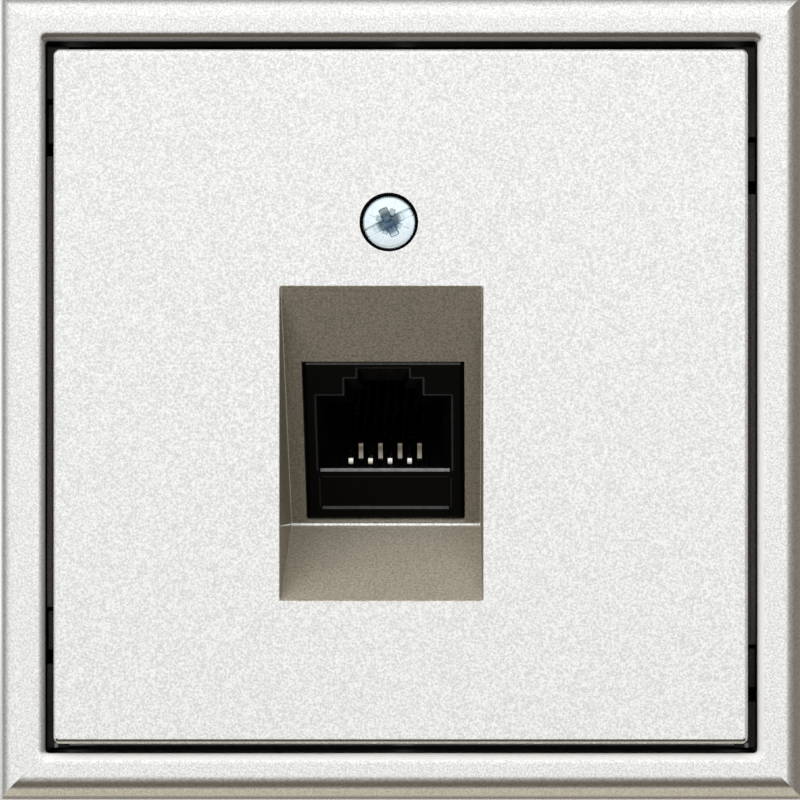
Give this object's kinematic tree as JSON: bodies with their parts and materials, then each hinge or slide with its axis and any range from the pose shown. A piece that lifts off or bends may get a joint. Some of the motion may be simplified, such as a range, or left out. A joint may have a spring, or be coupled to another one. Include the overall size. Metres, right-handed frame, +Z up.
{
  "type": "ethernet wall socket",
  "caption": "Flush wall network outlet: square cover frame, centre plate with a slanted recess and one modular jack, on a support ring with a wire cap behind.",
  "frame": {"origin": "centre of the wall plane, on the back face of the support ring", "axes": "+Z up, +X to the right seen from the room, -Y out of the wall into the room"},
  "size_m": [0.0816, 0.0359, 0.0816],
  "materials": {
    "lacquer": "pale aluminium-look satin lacquer on moulded plastic",
    "black_plastic": "black moulded plastic, fine spark texture",
    "screw_zinc": "blue-white zinc-plated steel",
    "insert_brass": "turned brass",
    "ring_steel": "zinc-plated sheet steel",
    "carrier_plastic": "dark grey moulded plastic",
    "jack_black": "black moulded plastic, slight gloss",
    "contact_gilt": "gold-plated spring bronze",
    "board_green": "green solder resist on glass-fibre board",
    "terminal_plastic": "off-white moulded plastic",
    "blade_tin": "tin-plated bronze sheet",
    "cap_plastic": "off-white moulded plastic"
  },
  "bodies": {
    "root": {"cover_frame": "lacquer", "centre_plate": "lacquer", "base_frame": "black_plastic", "plate_screw": "screw_zinc", "carrier_screws": "screw_zinc", "thread_insert": "insert_brass", "support_ring": "ring_steel", "module_carrier": "carrier_plastic", "jack_housing": "jack_black", "contact_holder": "jack_black", "contact_1": "contact_gilt", "contact_2": "contact_gilt", "contact_3": "contact_gilt", "contact_4": "contact_gilt", "contact_5": "contact_gilt", "contact_6": "contact_gilt", "contact_7": "contact_gilt", "contact_8": "contact_gilt", "circuit_board": "board_green", "terminal_block": "terminal_plastic", "idc_blade_1": "blade_tin", "idc_blade_2": "blade_tin", "idc_blade_3": "blade_tin", "idc_blade_4": "blade_tin", "idc_blade_5": "blade_tin", "idc_blade_6": "blade_tin", "idc_blade_7": "blade_tin", "idc_blade_8": "blade_tin", "wire_cap": "cap_plastic"}
  },
  "joints": []
}
